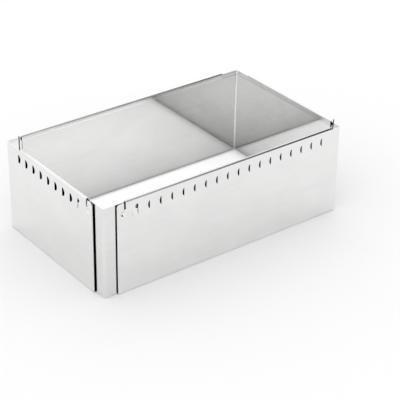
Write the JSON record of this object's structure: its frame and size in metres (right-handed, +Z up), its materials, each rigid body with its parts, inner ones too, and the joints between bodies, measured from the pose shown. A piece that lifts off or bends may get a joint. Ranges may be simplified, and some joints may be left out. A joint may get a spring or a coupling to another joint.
{
  "type": "adjustable baking frame",
  "caption": "Bottomless rectangular baking frame of folded steel angles that slide in each other's hems to change length and width, with wire lock levers on the rim.",
  "frame": {"origin": "middle of the closed frame's base, on the surface it stands on", "axes": "+X along the length, +Y from the front wall to the back wall, +Z up"},
  "size_m": [0.219, 0.1274, 0.0845],
  "materials": {
    "outer_sheet": "bright satin stainless sheet",
    "inner_sheet": "bright satin stainless sheet",
    "lock_wire": "drawn stainless wire"
  },
  "bodies": {
    "rear_outer": {"rear_outer_angle": "outer_sheet"},
    "near_inner": {"near_inner_angle": "inner_sheet"},
    "front_outer": {"front_outer_angle": "outer_sheet"},
    "far_inner": {"far_inner_angle": "inner_sheet"},
    "front_lock": {"front_lock_rod": "lock_wire"},
    "left_lock": {"left_lock_rod": "lock_wire"}
  },
  "joints": [
    {"name": "width_slide", "type": "slide", "parent": "rear_outer", "child": "near_inner", "axis": [0, -1, 0], "range_m": [0, 0.08]},
    {"name": "length_slide", "type": "slide", "parent": "near_inner", "child": "front_outer", "axis": [1, 0, 0], "range_m": [0, 0.17]},
    {"name": "far_slide", "type": "slide", "parent": "rear_outer", "child": "far_inner", "axis": [1, 0, 0], "range_m": [0, 0.17]},
    {"name": "front_lock_turn", "type": "hinge", "parent": "front_outer", "child": "front_lock", "pos_m": [0, -0.0627, 0.07315], "axis": [-1, 0, 0], "range_deg": [0, 90]},
    {"name": "left_lock_turn", "type": "hinge", "parent": "rear_outer", "child": "left_lock", "pos_m": [-0.10845, 0, 0.07315], "axis": [0, 1, 0], "range_deg": [0, 90]}
  ],
  "couplings": [
    {"joint": "far_slide", "follows": "length_slide", "ratio": 1}
  ]
}
